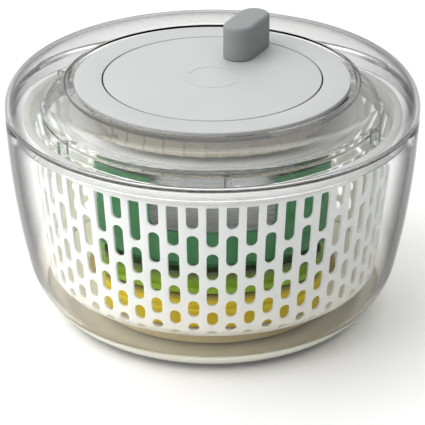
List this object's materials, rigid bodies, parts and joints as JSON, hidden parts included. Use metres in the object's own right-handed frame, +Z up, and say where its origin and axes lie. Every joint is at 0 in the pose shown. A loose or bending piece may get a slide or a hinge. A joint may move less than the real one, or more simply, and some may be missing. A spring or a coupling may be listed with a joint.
{
  "type": "salad spinner",
  "caption": "Crank-driven salad spinner: clear bowl and lid, slotted basket on a pivot, planetary crank drive with a swivelling knob, and stacked preparation trays inside.",
  "frame": {"origin": "middle of the underside of the non-slip base ring", "axes": "+Z up along the spin axis; -Y is the front, towards the viewer; +X to the viewer's right"},
  "size_m": [0.265, 0.265, 0.18],
  "materials": {
    "clear_plastic": "polished clear plastic",
    "white_plastic": "semi-gloss",
    "cream_plastic": "semi-gloss",
    "cover_grey": "fine satin",
    "knob_grey": "soft-touch matte",
    "gear_plastic": "moulded acetal",
    "base_pad": "matte rubber",
    "green_plastic": "semi-gloss",
    "lime_plastic": "semi-gloss",
    "yellow_plastic": "semi-gloss",
    "steel": "satin stainless"
  },
  "bodies": {
    "bowl": {"bowl": "clear_plastic", "base_ring": "base_pad"},
    "basket": {"basket": "white_plastic", "grater_tray": "yellow_plastic", "grater_plate": "steel", "shredder_tray": "lime_plastic", "shredder_plate": "steel", "slicer_tray": "green_plastic", "slicer_bed": "steel", "slicer_blade": "steel"},
    "lid": {"lid_shell": "clear_plastic"},
    "gear_unit": {"gear_housing": "cream_plastic", "cover_ring": "cover_grey", "cover_screw_1": "steel", "cover_screw_2": "steel", "cover_screw_3": "steel", "cover_screw_4": "steel", "idler_pin_1": "steel", "idler_pin_2": "steel", "idler_pin_3": "steel", "shaft_bush": "steel"},
    "crank": {"crank_disc": "cover_grey", "ring_gear": "gear_plastic", "ring_gear_screw_1": "steel", "ring_gear_screw_2": "steel", "ring_gear_screw_3": "steel", "knob_pin": "steel"},
    "knob": {"knob": "knob_grey", "knob_clip": "steel"},
    "idler_1": {"idler_gear_1": "gear_plastic"},
    "idler_2": {"idler_gear_2": "gear_plastic"},
    "idler_3": {"idler_gear_3": "gear_plastic"},
    "driver": {"sun_gear": "gear_plastic", "drive_shaft": "steel", "drive_plate": "white_plastic", "drive_ring": "clear_plastic", "drive_nut": "steel", "drive_washer": "steel"}
  },
  "joints": [
    {"name": "basket_spin", "type": "hinge", "parent": "bowl", "child": "basket", "pos_m": [0, 0, 0.014], "axis": [0, 0, 1], "continuous": true},
    {"name": "lid_lift", "type": "slide", "parent": "bowl", "child": "lid", "axis": [0, 0, 1], "range_m": [0, 0.12]},
    {"name": "unit_twist", "type": "hinge", "parent": "lid", "child": "gear_unit", "pos_m": [0, 0, 0.15], "axis": [0, 0, 1], "range_deg": [-28, 0]},
    {"name": "crank_spin", "type": "hinge", "parent": "gear_unit", "child": "crank", "pos_m": [0, 0, 0.155], "axis": [0, 0, 1], "continuous": true},
    {"name": "knob_spin", "type": "hinge", "parent": "crank", "child": "knob", "pos_m": [0.02218, 0.04448, 0.165], "axis": [0, 0, 1], "continuous": true},
    {"name": "idler_1_spin", "type": "hinge", "parent": "gear_unit", "child": "idler_1", "pos_m": [0, 0.0375, 0.146], "axis": [0, 0, 1], "continuous": true},
    {"name": "idler_2_spin", "type": "hinge", "parent": "gear_unit", "child": "idler_2", "pos_m": [-0.03248, -0.01875, 0.146], "axis": [0, 0, 1], "continuous": true},
    {"name": "idler_3_spin", "type": "hinge", "parent": "gear_unit", "child": "idler_3", "pos_m": [0.03248, -0.01875, 0.146], "axis": [0, 0, 1], "continuous": true},
    {"name": "driver_spin", "type": "hinge", "parent": "gear_unit", "child": "driver", "pos_m": [0, 0, 0.146], "axis": [0, 0, 1], "continuous": true}
  ],
  "couplings": [
    {"joint": "crank_spin", "follows": "basket_spin", "ratio": -0.25},
    {"joint": "idler_1_spin", "follows": "basket_spin", "ratio": -0.66667},
    {"joint": "idler_2_spin", "follows": "basket_spin", "ratio": -0.66667},
    {"joint": "idler_3_spin", "follows": "basket_spin", "ratio": -0.66667},
    {"joint": "driver_spin", "follows": "basket_spin", "ratio": 1}
  ]
}
